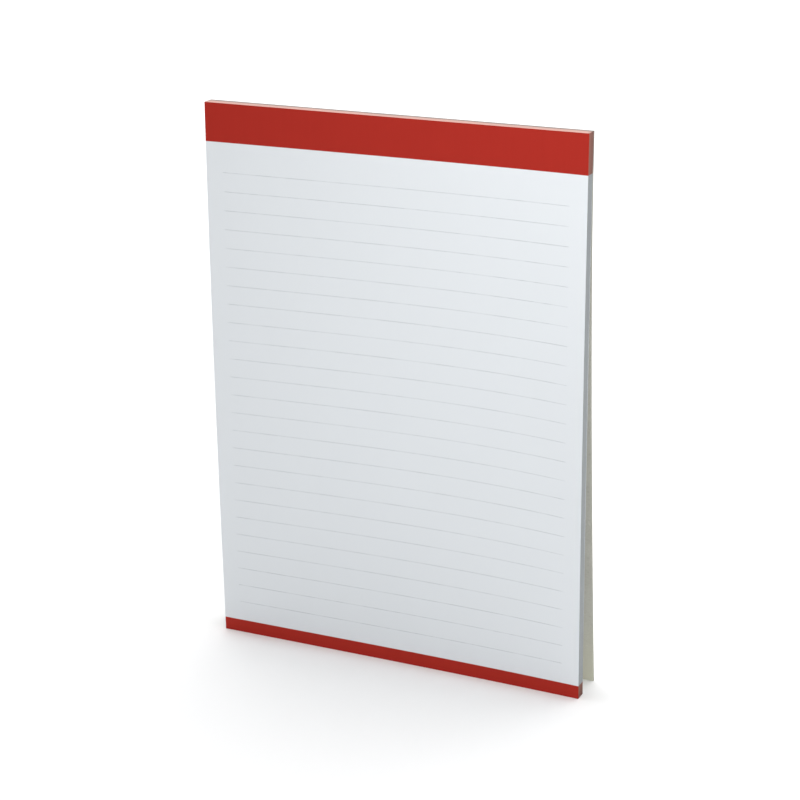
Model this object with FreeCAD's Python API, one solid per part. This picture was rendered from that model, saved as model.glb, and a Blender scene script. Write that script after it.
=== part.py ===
import FreeCAD, Part
import math
import os

# A glued writing pad that stands on its lower edge like an easel. Millimetres, +Z up.
# The ruled side faces -Y, the glued edge is at the top, and the backing board is the rear leg.
# The origin lies on the floor, in the middle of the pad's width and depth.

# The sheets
sheet_width = 210.0
sheet_height = 297.0
sheet_count = 60
sheet_thickness = 0.1
block_thickness = sheet_count * sheet_thickness

# The backing board, cut together with the sheets
board_thickness = 1.0
seat_gap = 0.04         # air between the last sheet and the board under the glued edge
foot_spread = 16.4      # how far the board's foot stands away from the block
bend_length = 100.0     # the board bends over about this much of its height, then runs straight

# The dried padding glue over the top edges
glue_thickness = 0.25

# The curl that lets the pad stand
edge_bow = 1.4          # both long edges bulge forward at half height
middle_hollow = 7.0     # the middle of the page lies behind its long edges at half height
foot_hollow = 0.8       # the same at the lower edge
valley_shift = 0.5      # moves the deepest line a little towards +X

# How finely the curved faces follow these formulas, and how far they run past the cut
steps_across = 8
steps_down = 16
trim = 6.0

half_width = sheet_width / 2


def hollow_depth(down):
    """How far the middle of the page lies back. down runs from 0 at the glued edge to 1."""
    return middle_hollow * math.sin(math.pi * down) + foot_hollow * down


def bow_depth(down):
    """How far the long edges bulge forward."""
    return edge_bow * 4 * down * (1 - down)


def page_depth(across, down):
    """How far the ruled face lies behind its top corners. across runs from -1 to 1."""
    section = (1 - across ** 2) * (1 + valley_shift * across)
    return hollow_depth(down) * section - bow_depth(down)


def board_gap(down):
    """The air between the block's back and the board, which opens as a soft bend."""
    bend = bend_length / sheet_height
    opened = math.hypot(down, bend) - bend
    return seat_gap + foot_spread * opened / (math.hypot(1, bend) - bend)


def board_depth(across, down):
    """How far the board's front lies behind the ruled face's top corners."""
    return page_depth(across, down) + block_thickness + board_gap(down)


# The pad reaches from the bulge of its long edges to the middle of the board's foot.
front_reach = page_depth(1, 0.5)
rear_reach = board_depth(0, 1) + board_thickness
middle_depth = (front_reach + rear_reach) / 2


def curved_face(depth_at):
    """The face that depth_at describes, a little wider and higher than a sheet."""
    rows = []
    for i in range(steps_across + 1):
        x = (sheet_width + 2 * trim) * (i / steps_across - 0.5)
        row = []
        for j in range(steps_down + 1):
            z = sheet_height + trim - (sheet_height + 2 * trim) * j / steps_down
            y = depth_at(x / half_width, 1 - z / sheet_height) - middle_depth
            row.append(FreeCAD.Vector(x, y, z))
        rows.append(row)
    surface = Part.BSplineSurface()
    surface.interpolate(rows)
    return surface.toShape()


def cut_slab(depth_at, thickness):
    """A curved slab with that face in front, cut square to the size of a sheet."""
    slab = curved_face(depth_at).extrude(FreeCAD.Vector(0, thickness, 0))
    reach = rear_reach - front_reach + 2 * trim
    corner = FreeCAD.Vector(-half_width, -reach / 2, 0)
    return slab.common(Part.makeBox(sheet_width, reach, sheet_height, corner)).Solids[0]


def sheet_block():
    """Every ruled sheet, as one stack with straight cut sides."""
    return cut_slab(page_depth, block_thickness)


def backing_board():
    """The grey board, held at the top edge and bent away below as the rear leg."""
    return cut_slab(board_depth, board_thickness)


def glue_strip():
    """The film of dried glue that holds the sheets and the board by their top edges."""
    depth = board_depth(0, 0) + board_thickness
    corner = FreeCAD.Vector(-half_width, -middle_depth, sheet_height)
    return Part.makeBox(sheet_width, depth, glue_thickness, corner)


pieces = {
    "sheet_block": sheet_block(),
    "backing_board": backing_board(),
    "glue_strip": glue_strip(),
}

os.makedirs("parts", exist_ok=True)
for name, shape in pieces.items():
    shape.exportStep("parts/" + name + ".step")
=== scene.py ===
import math
import random

import bmesh
import bpy
from mathutils import Matrix, Vector


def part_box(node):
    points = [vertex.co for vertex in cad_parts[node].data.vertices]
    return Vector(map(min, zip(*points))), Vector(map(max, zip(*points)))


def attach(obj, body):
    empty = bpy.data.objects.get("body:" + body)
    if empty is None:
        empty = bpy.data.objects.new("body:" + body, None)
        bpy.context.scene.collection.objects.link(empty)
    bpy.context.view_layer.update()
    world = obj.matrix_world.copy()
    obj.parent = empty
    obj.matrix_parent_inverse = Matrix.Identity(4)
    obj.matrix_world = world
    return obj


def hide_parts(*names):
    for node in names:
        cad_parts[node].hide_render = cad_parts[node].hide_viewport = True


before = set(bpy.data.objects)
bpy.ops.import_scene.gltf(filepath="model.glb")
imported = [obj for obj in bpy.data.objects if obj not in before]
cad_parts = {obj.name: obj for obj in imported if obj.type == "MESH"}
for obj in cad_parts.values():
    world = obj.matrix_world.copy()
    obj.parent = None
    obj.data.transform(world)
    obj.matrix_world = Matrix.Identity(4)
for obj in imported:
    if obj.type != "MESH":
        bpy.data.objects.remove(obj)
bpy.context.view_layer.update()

print("frame loaded:", ", ".join(sorted(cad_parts)))


# The pad's own sizes, in metres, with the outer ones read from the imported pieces

blockLow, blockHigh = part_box("sheet_block")
glueLow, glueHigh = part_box("glue_strip")

pad = {
    "left": blockLow.x,
    "right": blockHigh.x,
    "width": blockHigh.x - blockLow.x,
    "height": blockHigh.z,
    "front": glueLow.y,                 # the ruled face along the glued edge
    "depth": glueHigh.y - glueLow.y,    # sheets and board together, at the glued edge
    "sheets": 60,
    "sheetThickness": 0.0001,
    "seatGap": 0.00004,                 # air between the last sheet and the board
}
pad["blockThickness"] = pad["sheets"] * pad["sheetThickness"]
pad["boardThickness"] = pad["depth"] - pad["blockThickness"] - pad["seatGap"]

curl = {
    "edgeBow": 0.00137,       # both long edges bulge forward at half height
    "middleHollow": 0.007,    # the middle of the page lies back at half height
    "footHollow": 0.0008,     # the same at the lower edge
    "valleyShift": 0.5,       # moves the deepest line a little to the right
    "footSpread": 0.01638,    # how far the board's foot stands away
    "bendLength": 0.1,        # the board bends over about this much of its height
}


def pageDepth(x, z):
    across = 2 * x / pad["width"]
    down = 1 - z / pad["height"]
    hollow = curl["middleHollow"] * math.sin(math.pi * down) + curl["footHollow"] * down
    section = (1 - across ** 2) * (1 + curl["valleyShift"] * across)
    return pad["front"] + hollow * section - curl["edgeBow"] * 4 * down * (1 - down)


def boardGap(z):
    down = 1 - z / pad["height"]
    bend = curl["bendLength"] / pad["height"]
    opened = (math.hypot(down, bend) - bend) / (math.hypot(1, bend) - bend)
    return pad["seatGap"] + curl["footSpread"] * opened


# Node helpers

colourSockets = {"first": 6, "second": 7, "mixed": 2}    # the Mix node's sockets for colours


def newMaterial(name, roughness, specular):
    material = bpy.data.materials.new(name)
    material.use_nodes = True
    tree = material.node_tree
    shader = tree.nodes["Principled BSDF"]
    shader.inputs["Roughness"].default_value = roughness
    shader.inputs["Specular IOR Level"].default_value = specular
    return material, tree, shader


def addNode(tree, kind, **settings):
    node = tree.nodes.new("ShaderNode" + kind)
    for name, value in settings.items():
        setattr(node, name, value)
    return node


def plug(tree, source, target):
    # a number or a colour is set as it is, and an output is linked
    if isinstance(source, (int, float, tuple)):
        target.default_value = source
    else:
        tree.links.new(source, target)


def calc(tree, operation, first, second=0.0, third=0.0):
    node = addNode(tree, "Math", operation=operation)
    for socket, value in zip(node.inputs, (first, second, third)):
        plug(tree, value, socket)
    return node.outputs["Value"]


def rampBetween(tree, value, low, high):
    # 0 up to low and 1 from high on, or 1 up to high and 0 from low on where low is the larger
    node = addNode(tree, "MapRange", interpolation_type="SMOOTHSTEP", clamp=True)
    start, end = (0.0, 1.0) if low < high else (1.0, 0.0)
    plug(tree, value, node.inputs["Value"])
    plug(tree, min(low, high), node.inputs["From Min"])
    plug(tree, max(low, high), node.inputs["From Max"])
    plug(tree, start, node.inputs["To Min"])
    plug(tree, end, node.inputs["To Max"])
    return node.outputs["Result"]


def blendColour(tree, factor, first, second):
    node = addNode(tree, "Mix", data_type="RGBA")
    plug(tree, factor, node.inputs["Factor"])
    plug(tree, first, node.inputs[colourSockets["first"]])
    plug(tree, second, node.inputs[colourSockets["second"]])
    return node.outputs[colourSockets["mixed"]]


def padPlace(tree):
    # a point's place on the pad, in metres
    return addNode(tree, "TexCoord").outputs["Object"]


def leafPlace(tree):
    # how deep in the stack a point of a cut side lies, from 0 in front to 1, and how far along
    return addNode(tree, "UVMap", uv_map="leafLines").outputs["UV"]


def axesOf(tree, place):
    split = addNode(tree, "SeparateXYZ")
    plug(tree, place, split.inputs["Vector"])
    return split.outputs


def grain(tree, place, stretch, scale, detail, roughness):
    mapping = addNode(tree, "Mapping")
    plug(tree, place, mapping.inputs["Vector"])
    plug(tree, stretch, mapping.inputs["Scale"])
    noise = addNode(tree, "TexNoise")
    plug(tree, mapping.outputs["Vector"], noise.inputs["Vector"])
    plug(tree, scale, noise.inputs["Scale"])
    plug(tree, detail, noise.inputs["Detail"])
    plug(tree, roughness, noise.inputs["Roughness"])
    return noise.outputs["Fac"]


def bumpTo(tree, shader, height, strength, distance):
    bump = addNode(tree, "Bump")
    plug(tree, strength, bump.inputs["Strength"])
    plug(tree, distance, bump.inputs["Distance"])
    plug(tree, height, bump.inputs["Height"])
    plug(tree, bump.outputs["Normal"], shader.inputs["Normal"])


# Paper and print

paper = {
    "surface": {"roughness": 0.65, "specular": 0.3},
    "white": (0.81, 0.843, 0.872, 1),
    "shade": (0.72, 0.76, 0.79, 1),
    "clouding": 0.06,               # how much of the shade the clouds bring
    "showThrough": (0.6, 0.25, 0.25, 1),
    "showThroughShare": 0.16,
    "cloud": {"stretch": (1, 1, 1), "scale": 26, "detail": 2, "roughness": 0.6},
    "fibre": {"stretch": (1, 1, 2.2), "scale": 1500, "detail": 4, "roughness": 0.7},
    "relief": {"strength": 0.12, "distance": 0.00005},
}

printing = {
    "surface": {"roughness": 0.62, "specular": 0.08},
    "inkRoughness": 0.42,           # ink is a little smoother than bare paper
    "clouding": 0.05,
    "headerDepth": 0.0203,          # red band below the glued edge
    "footerDepth": 0.00734,         # red band above the lower edge
    "bandSoftness": 0.00008,
    "red": (0.44, 0.027, 0.0168, 1),
    "redDeep": (0.36, 0.018, 0.012, 1),
    "roller": {"stretch": (1, 1, 0.05), "scale": 420, "detail": 3, "roughness": 0.6},
    "rollerShare": 0.3,             # how much of the deep red the roller's streaks bring,
    "cloudShare": 0.1,              # and the paper's clouds
    "line": (0.405, 0.45, 0.475, 1),
    "firstLine": 0.0361,            # below the glued edge
    "linePitch": 0.0101,
    "lines": 25,
    "lineWidth": 0.0003,
    "lineSoftness": 0.25,           # a share of half the line's width
    "lineLimit": 0.01,              # a share of the pitch
    "margin": 0.0098,
    "marginSoftness": 0.00005,
    "dotPitch": 0.0011,
    "dotShare": 0.6,
    "dotSoftness": 0.06,            # a share of the pitch
    "dotsBefore": 1.0,              # the dots are counted from this far to the left
    "inkFlow": {"stretch": (1, 1, 0.5), "scale": 230, "detail": 2, "roughness": 0.5},
    "inkThin": 0.42,                # the flow at which the ink is weakest,
    "inkFull": 0.58,                # and at which it is strongest
    "inkLeast": 0.45,
    "inkGain": 0.85,
}


def paperBody(tree, shader, place, clouding):
    # slightly cloudy paper with a fine relief of fibres
    cloud = grain(tree, place, **paper["cloud"])
    fibre = grain(tree, place, **paper["fibre"])
    bumpTo(tree, shader, fibre, **paper["relief"])
    cloudy = calc(tree, "MULTIPLY", cloud, clouding)
    return blendColour(tree, cloudy, paper["white"], paper["shade"]), cloud


def bandMask(tree, z):
    # 1 inside the two red bands
    soft = printing["bandSoftness"]
    headerEdge = pad["height"] - printing["headerDepth"]
    footerEdge = printing["footerDepth"]
    header = rampBetween(tree, z, headerEdge - soft, headerEdge + soft)
    footer = rampBetween(tree, z, footerEdge + soft, footerEdge - soft)
    return calc(tree, "MAXIMUM", header, footer)


def lineMask(tree, place, x, z):
    # how much ink lies on the fine dots that each line is made of
    pitch = printing["linePitch"]
    lowest = pad["height"] - printing["firstLine"] - (printing["lines"] - 1) * pitch
    steps = calc(tree, "DIVIDE", calc(tree, "SUBTRACT", z, lowest), pitch)
    away = calc(tree, "ABSOLUTE", calc(tree, "SUBTRACT", steps, calc(tree, "ROUND", steps)))
    half = printing["lineWidth"] / 2 / pitch
    soft = printing["lineSoftness"]
    line = rampBetween(tree, away, half * (1 + soft), half * (1 - soft))
    # none lies more than half a pitch below the lowest line or above the highest
    limit = printing["lineLimit"]
    below = -0.5
    above = printing["lines"] - 0.5
    notBelow = rampBetween(tree, steps, below, below + limit)
    notAbove = rampBetween(tree, steps, above, above - limit)
    reach = pad["width"] / 2 - printing["margin"]
    soft = printing["marginSoftness"]
    inMargins = rampBetween(tree, calc(tree, "ABSOLUTE", x), reach + soft, reach - soft)
    along = calc(tree, "ADD", x, printing["dotsBefore"])
    dots = calc(tree, "FRACT", calc(tree, "DIVIDE", along, printing["dotPitch"]))
    fromDot = calc(tree, "ABSOLUTE", calc(tree, "SUBTRACT", dots, 0.5))
    halfDot = printing["dotShare"] / 2
    soft = printing["dotSoftness"]
    dotted = rampBetween(tree, fromDot, halfDot + soft, halfDot - soft)
    # the ink lies unevenly along each line
    flow = grain(tree, place, **printing["inkFlow"])
    flow = rampBetween(tree, flow, printing["inkThin"], printing["inkFull"])
    inked = calc(tree, "MULTIPLY_ADD", flow, printing["inkGain"], printing["inkLeast"])
    mask = line
    for part in (dotted, inked, notBelow, notAbove, inMargins):
        mask = calc(tree, "MULTIPLY", mask, part)
    return mask


def printedPage():
    material, tree, shader = newMaterial("printedPage", **printing["surface"])
    place = padPlace(tree)
    axes = axesOf(tree, place)
    bands = bandMask(tree, axes["Z"])
    body, cloud = paperBody(tree, shader, place, printing["clouding"])
    lines = lineMask(tree, place, axes["X"], axes["Z"])
    ruled = blendColour(tree, lines, body, printing["line"])
    roller = grain(tree, place, **printing["roller"])
    cloudy = calc(tree, "MULTIPLY", cloud, printing["cloudShare"])
    depth = calc(tree, "MULTIPLY_ADD", roller, printing["rollerShare"], cloudy)
    ink = blendColour(tree, depth, printing["red"], printing["redDeep"])
    plug(tree, blendColour(tree, bands, ruled, ink), shader.inputs["Base Color"])
    sheen = addNode(tree, "MapRange")
    plug(tree, bands, sheen.inputs["Value"])
    plug(tree, printing["surface"]["roughness"], sheen.inputs["To Min"])
    plug(tree, printing["inkRoughness"], sheen.inputs["To Max"])
    plug(tree, sheen.outputs["Result"], shader.inputs["Roughness"])
    return material


def plainPaper():
    material, tree, shader = newMaterial("plainPaper", **paper["surface"])
    place = padPlace(tree)
    body, _ = paperBody(tree, shader, place, paper["clouding"])
    # the bands of the sheet's other side show through faintly
    bands = bandMask(tree, axesOf(tree, place)["Z"])
    through = calc(tree, "MULTIPLY", bands, paper["showThroughShare"])
    plug(tree, blendColour(tree, through, body, paper["showThrough"]), shader.inputs["Base Color"])
    return material


# The cut sides of the stack

cutEdges = {
    "surface": {"roughness": 0.8, "specular": 0.2},
    # painted shade: these colours are far darker than the paper, for the shade between the sheets and
    # on the pad's sides
    "paper": (0.36, 0.384, 0.396, 1),
    "shade": (0.25, 0.267, 0.276, 1),
    "inked": (0.37, 0.15, 0.115, 1),
    "inkedShade": (0.17, 0.095, 0.08, 1),
    "streak": {"stretch": (pad["sheets"], 3, 1), "scale": 1.6, "detail": 4, "roughness": 0.75},
    "streakFrom": 0.3,
    "streakTo": 0.75,
    "streakShare": 0.35,            # how much of the shade the single sheets bring,
    "bundle": {"stretch": (pad["sheets"] / 6, 1.2, 1), "scale": 1.0, "detail": 2, "roughness": 0.5},
    "bundleShare": 0.35,            # and the bundles of sheets
    "backShare": 0.45,              # the inked part darkens towards the back
    "relief": {"strength": 0.3, "distance": 0.00006},
}


def cutPaperEdges():
    # one streak for each sheet, with the ink's bleed at the bands, over colours that carry painted
    # shade
    material, tree, shader = newMaterial("cutPaperEdges", **cutEdges["surface"])
    leaf = leafPlace(tree)
    streak = grain(tree, leaf, **cutEdges["streak"])
    bundle = grain(tree, leaf, **cutEdges["bundle"])
    fine = rampBetween(tree, streak, cutEdges["streakFrom"], cutEdges["streakTo"])
    fine = calc(tree, "MULTIPLY", fine, cutEdges["streakShare"])
    shade = calc(tree, "MULTIPLY_ADD", bundle, cutEdges["bundleShare"], fine)
    plain = blendColour(tree, shade, cutEdges["paper"], cutEdges["shade"])
    deep = axesOf(tree, leaf)["X"]
    inkedShade = calc(tree, "MULTIPLY_ADD", deep, cutEdges["backShare"], shade)
    inked = blendColour(tree, inkedShade, cutEdges["inked"], cutEdges["inkedShade"])
    bands = bandMask(tree, axesOf(tree, padPlace(tree))["Z"])
    plug(tree, blendColour(tree, bands, plain, inked), shader.inputs["Base Color"])
    bumpTo(tree, shader, streak, **cutEdges["relief"])
    return material


# The board's faces and its pressed edges

boardLook = {
    "surface": {"roughness": 0.85, "specular": 0.2},
    "grey": (0.54, 0.535, 0.475, 1),
    "pale": (0.59, 0.585, 0.522, 1),
    "cloud": {"stretch": (1, 1, 1.6), "scale": 45, "detail": 5, "roughness": 0.65},
    "cloudFrom": 0.3,
    "cloudTo": 0.7,
    "pulpColour": (0.33, 0.32, 0.265, 1),
    "pulp": {"stretch": (1, 1, 2.6), "scale": 700, "detail": 5, "roughness": 0.75},
    "pulpFrom": 0.4,
    "pulpTo": 0.75,
    "pulpShare": 0.35,
    "flecks": (
        # colour, scale of the grain that carries it
        ((0.3, 0.285, 0.24, 1), 620),
        ((0.8, 0.79, 0.72, 1), 700),
    ),
    "fleck": {"stretch": (1, 1, 1.9), "detail": 1, "roughness": 0.4},
    "fleckFrom": 0.66,
    "fleckTo": 0.72,
    "fleckShare": 0.3,
    "yellowed": (0.64, 0.635, 0.51, 1),
    "yellowedUpTo": 0.05,
    "yellowedShare": 0.8,
    "relief": {"strength": 0.35, "distance": 0.00012},
}


def greyBoard():
    material, tree, shader = newMaterial("greyBoard", **boardLook["surface"])
    place = padPlace(tree)
    cloud = grain(tree, place, **boardLook["cloud"])
    cloud = rampBetween(tree, cloud, boardLook["cloudFrom"], boardLook["cloudTo"])
    body = blendColour(tree, cloud, boardLook["grey"], boardLook["pale"])
    pulp = grain(tree, place, **boardLook["pulp"])
    mottled = rampBetween(tree, pulp, boardLook["pulpFrom"], boardLook["pulpTo"])
    mottled = calc(tree, "MULTIPLY", mottled, boardLook["pulpShare"])
    body = blendColour(tree, mottled, body, boardLook["pulpColour"])
    # small flecks of old print and pale fibre in the recycled pulp
    for colour, scale in boardLook["flecks"]:
        fleck = grain(tree, place, scale=scale, **boardLook["fleck"])
        fleck = rampBetween(tree, fleck, boardLook["fleckFrom"], boardLook["fleckTo"])
        fleck = calc(tree, "MULTIPLY", fleck, boardLook["fleckShare"])
        body = blendColour(tree, fleck, body, colour)
    # a little yellowed towards the foot
    foot = rampBetween(tree, axesOf(tree, place)["Z"], boardLook["yellowedUpTo"], 0.0)
    foot = calc(tree, "MULTIPLY", foot, boardLook["yellowedShare"])
    plug(tree, blendColour(tree, foot, body, boardLook["yellowed"]), shader.inputs["Base Color"])
    bumpTo(tree, shader, pulp, **boardLook["relief"])
    return material


boardEdgeLook = {
    "surface": {"roughness": 0.9, "specular": 0.15},
    "edge": (0.4, 0.385, 0.33, 1),
    "edgeShade": (0.24, 0.23, 0.19, 1),
    "layer": {"stretch": (5, 4, 1), "scale": 2.2, "detail": 4, "roughness": 0.7},
    "pulpColour": (0.3, 0.29, 0.24, 1),
    "pulp": {"stretch": (1, 1, 1), "scale": 900, "detail": 4, "roughness": 0.7},
    "pulpShare": 0.4,
    "darkTop": (0.14, 0.105, 0.095, 1),
    "darkTopDepth": 0.019,           # below the glued edge
    "darkTopSoftness": 0.001,
    "darkTopShare": 0.85,
    "relief": {"strength": 0.4, "distance": 0.0001},
}


def boardEdges():
    # layers of pulp that the guillotine has pressed
    material, tree, shader = newMaterial("boardEdges", **boardEdgeLook["surface"])
    place = padPlace(tree)
    layer = grain(tree, leafPlace(tree), **boardEdgeLook["layer"])
    body = blendColour(tree, layer, boardEdgeLook["edge"], boardEdgeLook["edgeShade"])
    pulp = grain(tree, place, **boardEdgeLook["pulp"])
    pulp = calc(tree, "MULTIPLY", pulp, boardEdgeLook["pulpShare"])
    body = blendColour(tree, pulp, body, boardEdgeLook["pulpColour"])
    # darker beside the glued edge
    start = pad["height"] - boardEdgeLook["darkTopDepth"]
    soft = boardEdgeLook["darkTopSoftness"]
    darkTop = rampBetween(tree, axesOf(tree, place)["Z"], start - soft, start + soft)
    darkTop = calc(tree, "MULTIPLY", darkTop, boardEdgeLook["darkTopShare"])
    plug(tree, blendColour(tree, darkTop, body, boardEdgeLook["darkTop"]), shader.inputs["Base Color"])
    bumpTo(tree, shader, layer, **boardEdgeLook["relief"])
    return material


# The dried glue

glueLook = {
    "surface": {"roughness": 0.5, "specular": 0.4},
    "overSheets": (0.7, 0.395, 0.335, 1),
    "overSheetsShade": (0.49, 0.265, 0.225, 1),
    "streak": {"stretch": (1, 40, 1), "scale": 130, "detail": 4, "roughness": 0.7},
    "overBoard": (0.2, 0.165, 0.14, 1),
    "overBoardShade": (0.15, 0.125, 0.105, 1),
    "cloud": {"stretch": (1, 1, 1), "scale": 220, "detail": 3, "roughness": 0.6},
    "fadeLength": 0.0037,           # the colour over the sheets fades ahead of the board
    "relief": {"strength": 0.4, "distance": 0.0001},
}


def paddingGlue():
    # thin dried glue: the inked sheets and the board show their colours through it
    material, tree, shader = newMaterial("paddingGlue", **glueLook["surface"])
    place = padPlace(tree)
    boardStart = pad["front"] + pad["blockThickness"]
    fadeStart = boardStart - glueLook["fadeLength"]
    overBoard = rampBetween(tree, axesOf(tree, place)["Y"], fadeStart, boardStart)
    streak = grain(tree, place, **glueLook["streak"])
    cloud = grain(tree, place, **glueLook["cloud"])
    overSheets = blendColour(tree, streak, glueLook["overSheets"], glueLook["overSheetsShade"])
    overGrey = blendColour(tree, cloud, glueLook["overBoard"], glueLook["overBoardShade"])
    plug(tree, blendColour(tree, overBoard, overSheets, overGrey), shader.inputs["Base Color"])
    bumpTo(tree, shader, cloud, **glueLook["relief"])
    return material


finishes = {
    "page": printedPage(),
    "paper": plainPaper(),
    "edges": cutPaperEdges(),
    "board": greyBoard(),
    "boardEdges": boardEdges(),
    "glue": paddingGlue(),
}
print("finishes ready:", len(finishes))


# Curved sheets and stacks: a shell of front, back and four cut sides.
# shape gives the point for a place across (0 left, 1 right), down (0 top, 1 foot)
# and deep (0 front, 1 back). looks names the finishes of front, back and cut sides.

shell = {
    "front": 0,
    "back": 1,
    "cut": 2,
    "sharpFrom": 0.9,    # radians between two faces
}


def curvedShell(name, columns, rows, layers, shape, looks):
    mesh = bmesh.new()
    leafLines = mesh.loops.layers.uv.new("leafLines")
    known = {}

    def corner(i, j, k):
        if (i, j, k) not in known:
            known[i, j, k] = mesh.verts.new(shape(i / columns, j / rows, k / layers))
        return known[i, j, k]

    def side(cells, spot, part, upright, turned=False):
        # spot gives the corner's i, j and k from its two steps along this side
        for a, b in cells:
            ring = [spot(a, b), spot(a, b + 1), spot(a + 1, b + 1), spot(a + 1, b)]
            if turned:
                ring.reverse()
            face = mesh.faces.new([corner(*place) for place in ring])
            face.material_index = shell[part]
            face.smooth = True
            for loop, (i, j, k) in zip(face.loops, ring):
                loop[leafLines].uv = (k / layers, j / rows if upright else i / columns)

    faceCells = [(i, j) for i in range(columns) for j in range(rows)]
    sideCells = [(j, k) for j in range(rows) for k in range(layers)]
    endCells = [(i, k) for i in range(columns) for k in range(layers)]
    side(faceCells, lambda i, j: (i, j, 0), "front", True)
    side(faceCells, lambda i, j: (i, j, layers), "back", True, turned=True)
    side(sideCells, lambda j, k: (0, j, k), "cut", True)
    side(sideCells, lambda j, k: (columns, j, k), "cut", True, turned=True)
    side(endCells, lambda i, k: (i, 0, k), "cut", False, turned=True)
    side(endCells, lambda i, k: (i, rows, k), "cut", False)
    # sharp where the front, the back and the cut sides meet
    for edge in mesh.edges:
        partsMeet = len({face.material_index for face in edge.link_faces}) > 1
        if partsMeet or edge.calc_face_angle(0) > shell["sharpFrom"]:
            edge.smooth = False
    data = bpy.data.meshes.new(name)
    mesh.to_mesh(data)
    mesh.free()
    for look in looks:
        data.materials.append(finishes[look])
    piece = bpy.data.objects.new(name, data)
    bpy.context.scene.collection.objects.link(piece)
    return piece


# The sheets

stack = {
    "looseSheets": 6,          # the last ones stand a little apart from the rest
    "looseSpread": 0.0008,     # at half height, over all the loose sheets
    "looseTaper": 1.5,         # larger keeps them together further down and further up
    "footFan": 0.0004,         # how much thicker the stack is at its free lower edge
    "unevenSides": 0.00009,    # how much shorter one cut edge may be than its neighbour
    "cockle": 0.00005,         # slow waves of the top sheet
    "cockleDown": 21,          # radians from top to foot,
    "cockleSlant": 3,          # and from side to side
    "cockleAcross": 9,
    "cockleStart": 2,
    "topThickness": 0.94,      # shares of one sheet's place in the stack
    "looseStart": 0.04,
    "looseThickness": 0.9,
    "topCells": (56, 72),      # columns and rows of the meshes
    "stackCells": (20, 36),
    "looseCells": (20, 30),
    "seed": 11,
}
chance = random.Random(stack["seed"])
cutPlaces = ("leftTop", "leftFoot", "rightTop", "rightFoot", "lower")


def sheetDepth(x, z, sheet):
    # the front of the sheet with that number, counted from the top sheet
    loose = max(0.0, sheet - (pad["sheets"] - stack["looseSheets"]))
    down = 1 - z / pad["height"]
    bulge = math.sin(math.pi * down) ** stack["looseTaper"]
    apart = stack["looseSpread"] * loose / stack["looseSheets"] * bulge
    fanned = stack["footFan"] * sheet / pad["sheets"] * down ** 2
    return pageDepth(x, z) + sheet * pad["sheetThickness"] + apart + fanned


def trimmed():
    # how far one sheet's left, right and lower edges stand back
    return {place: chance.uniform(0, stack["unevenSides"]) for place in cutPlaces}


def sheetPlace(across, down, cut):
    left = pad["left"] + cut["leftTop"] * (1 - down) + cut["leftFoot"] * down
    right = pad["right"] - cut["rightTop"] * (1 - down) - cut["rightFoot"] * down
    z = pad["height"] - (pad["height"] - cut["lower"]) * down
    return left + (right - left) * across, z


def topSheet():
    cut = dict.fromkeys(cutPlaces, 0)

    def shape(across, down, deep):
        x, z = sheetPlace(across, down, cut)
        slanted = math.sin(stack["cockleDown"] * down + stack["cockleSlant"] * across)
        wave = slanted * math.sin(stack["cockleAcross"] * across + stack["cockleStart"]) - 1
        held = math.sin(math.pi * down) * math.sin(math.pi * across)
        y = sheetDepth(x, z, 0) + stack["cockle"] * wave * held
        return x, y + deep * pad["sheetThickness"] * stack["topThickness"], z

    return curvedShell("topSheet", *stack["topCells"], 1, shape, ["page", "paper", "edges"])


def sheetStack():
    layers = pad["sheets"] - 1 - stack["looseSheets"]
    cuts = [trimmed() for _ in range(layers + 1)]

    def shape(across, down, deep):
        layer = round(deep * layers)
        x, z = sheetPlace(across, down, cuts[layer])
        return x, sheetDepth(x, z, 1 + layer), z

    return curvedShell("sheetStack", *stack["stackCells"], layers, shape, ["paper", "paper", "edges"])


def looseSheet(number):
    name = "looseSheet%d" % (number + 1)
    sheet = pad["sheets"] - stack["looseSheets"] + number
    cut = trimmed()

    def shape(across, down, deep):
        x, z = sheetPlace(across, down, cut)
        within = stack["looseStart"] + deep * stack["looseThickness"]
        return x, sheetDepth(x, z, sheet) + within * pad["sheetThickness"], z

    return curvedShell(name, *stack["looseCells"], 1, shape, ["page", "paper", "edges"])


sheets = [topSheet(), sheetStack()] + [looseSheet(number) for number in range(stack["looseSheets"])]
for piece in sheets:
    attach(piece, "root")
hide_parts("sheet_block")
print("sheets built:", len(sheets))


# The backing board

board = {
    "cells": (40, 56, 4),         # columns, rows and layers of the mesh
    "waviness": 0.00006,
    "wavesAcross": 7,             # radians from side to side,
    "wavesDown": 11,              # and from top to foot
    "cornerRounding": 0.00012,
    "roundingSegments": 2,
    "roundedFrom": 60,            # degrees between two faces
}


def backingBoard():
    def shape(across, down, deep):
        x = pad["left"] + pad["width"] * across
        z = pad["height"] * (1 - down)
        wave = math.sin(board["wavesAcross"] * across + board["wavesDown"] * down)
        held = wave * math.sin(math.pi * across) * math.sin(math.pi * down)
        y = pageDepth(x, z) + pad["blockThickness"] + boardGap(z) + board["waviness"] * held
        return x, y + deep * pad["boardThickness"], z

    piece = curvedShell("backingBoard", *board["cells"], shape, ["board", "board", "boardEdges"])
    rounding = piece.modifiers.new("pressedEdges", "BEVEL")
    rounding.width = board["cornerRounding"]
    rounding.segments = board["roundingSegments"]
    rounding.limit_method = "ANGLE"
    rounding.angle_limit = math.radians(board["roundedFrom"])
    return piece


backBoard = backingBoard()
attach(backBoard, "root")
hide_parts("backing_board")
print("board built")


# The film of glue over the top edges

glue = {
    "thin": 0.00012,
    "thick": 0.00024,
    "cells": (120, 1, 12),    # along the edge, over the thickness and over the depth
    "brushWaves": 31,         # radians along the edge
    "brushSlant": 4,          # radians over the depth
    "beatWaves": 13,
    "beatStart": 1.7,
    "rimLeast": 0.25,         # the film thins out to these shares at the long rims
    "rimSlope": 5,
    "endLeast": 0.4,          # and at both ends
    "endSlope": 60,
}


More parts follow.
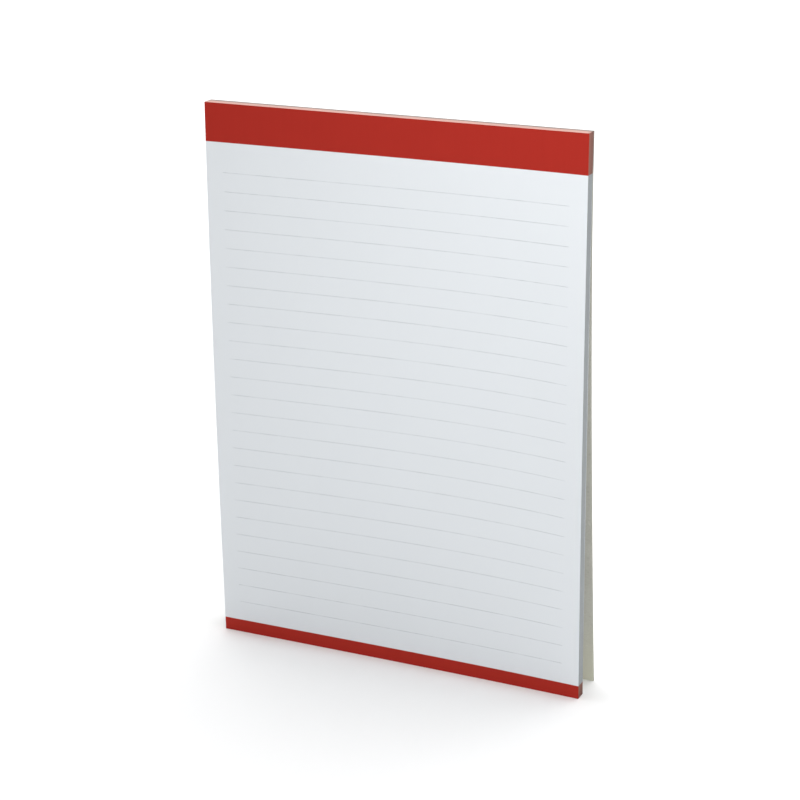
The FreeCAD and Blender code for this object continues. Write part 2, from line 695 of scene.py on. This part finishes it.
def glueFilm():
    def shape(across, down, deep):
        # down runs over the film's thickness here: 0 on top, 1 on the sheets
        x = pad["left"] + pad["width"] * across
        y = pad["front"] + pad["depth"] * deep
        brush = math.sin(glue["brushWaves"] * across + glue["brushSlant"] * deep)
        beat = math.sin(glue["beatWaves"] * across + glue["beatStart"])
        brushed = 0.5 + 0.5 * brush * beat
        rim = min(1.0, glue["rimSlope"] * min(deep, 1 - deep) + glue["rimLeast"])
        end = min(1.0, glue["endSlope"] * min(across, 1 - across) + glue["endLeast"])
        height = (glue["thin"] + (glue["thick"] - glue["thin"]) * brushed) * rim * end
        return x, y, pad["height"] + height * (1 - down)

    return curvedShell("glueFilm", *glue["cells"], shape, ["glue", "glue", "glue"])


film = glueFilm()
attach(film, "root")
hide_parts("glue_strip")
print("glue film built")


# Floor, light and camera

studio = {
    "floorRadius": 9.0,
    "floorSegments": 96,
    "floorColour": (0.96, 0.96, 0.96, 1),
    "floorSurface": {"roughness": 0.9, "specular": 0.1},
    "skyColour": (1.0, 1.0, 1.0, 1),
    "skyStrength": 0.2,
    "lights": (
        # name, place, aims at, size, watts, spread in degrees
        ("keySoftbox", (-0.05, -1.05, 0.56), (0.24, 0, 0.47), (0.4, 0.4), 0.225, 45),
        ("frontFill", (0.52, -0.82, 0.62), (0.16, 0, 0.28), (0.3, 0.3), 0.62, 85),
        ("sideFill", (1.0, -0.85, 0.4), (0.1, 0, 0.18), (0.3, 0.5), 0.26, 60),
        ("topSoftbox", (-0.4, 1.6, 2.2), (-0.4, 1.45, 0), (5.0, 4.6), 147, 180),
        ("nearSoftbox", (0.0, -3.5, 2.2), (0, -3.5, 0), (5.5, 4.0), 38, 60),
    ),
}


def studioFloor():
    mesh = bmesh.new()
    size = {"segments": studio["floorSegments"], "radius": studio["floorRadius"]}
    bmesh.ops.create_circle(mesh, cap_ends=True, **size)
    data = bpy.data.meshes.new("studioFloor")
    mesh.to_mesh(data)
    mesh.free()
    floor = bpy.data.objects.new("studioFloor", data)
    bpy.context.scene.collection.objects.link(floor)
    material, _, shader = newMaterial("paleFloor", **studio["floorSurface"])
    shader.inputs["Base Color"].default_value = studio["floorColour"]
    data.materials.append(material)


def addLight(name, place, aim, size, watts, spread):
    lamp = bpy.data.lights.new(name, "AREA")
    lamp.shape = "RECTANGLE"
    lamp.size, lamp.size_y = size
    lamp.energy = watts
    lamp.spread = math.radians(spread)
    holder = bpy.data.objects.new(name, lamp)
    holder.location = place
    holder.rotation_euler = (Vector(aim) - Vector(place)).to_track_quat("-Z", "Y").to_euler()
    bpy.context.scene.collection.objects.link(holder)


def softSky():
    world = bpy.data.worlds.new("softSky")
    world.use_nodes = True
    background = world.node_tree.nodes["Background"]
    background.inputs["Color"].default_value = studio["skyColour"]
    background.inputs["Strength"].default_value = studio["skyStrength"]
    bpy.context.scene.world = world


studioFloor()
softSky()
for light in studio["lights"]:
    addLight(*light)
bpy.context.scene.view_settings.view_transform = "Standard"
print("studio ready")

camera = {
    "azimuth": 25.497,        # degrees, from straight in front towards the right
    "elevation": 18.955,
    "roll": -0.628,
    "distance": 1.069,
    "right": 0.00397,         # the aim's shift from the page's middle, in the picture's plane
    "up": 0.001,
    "lens": 93.23,            # millimetres
    "sensorWidth": 36,
    "clipStart": 0.05,
    "clipEnd": 60,
}


def photoCamera():
    azimuth = math.radians(camera["azimuth"])
    elevation = math.radians(camera["elevation"])
    roll = math.radians(camera["roll"])
    flat = math.cos(elevation)
    back = Vector((math.sin(azimuth) * flat, -math.cos(azimuth) * flat, math.sin(elevation)))
    level = Vector((math.cos(azimuth), math.sin(azimuth), 0))
    upright = back.cross(level)
    right = level * math.cos(roll) + upright * math.sin(roll)
    up = upright * math.cos(roll) - level * math.sin(roll)
    aim = Vector((0, pad["front"], pad["height"] / 2)) + right * camera["right"] + up * camera["up"]
    data = bpy.data.cameras.new("photoCamera")
    data.lens = camera["lens"]
    data.sensor_width = camera["sensorWidth"]
    data.clip_start = camera["clipStart"]
    data.clip_end = camera["clipEnd"]
    holder = bpy.data.objects.new("photoCamera", data)
    holder.rotation_euler = Matrix((right, up, back)).transposed().to_euler()
    holder.location = aim + back * camera["distance"]
    bpy.context.scene.collection.objects.link(holder)
    bpy.context.scene.camera = holder


photoCamera()
print("camera set")
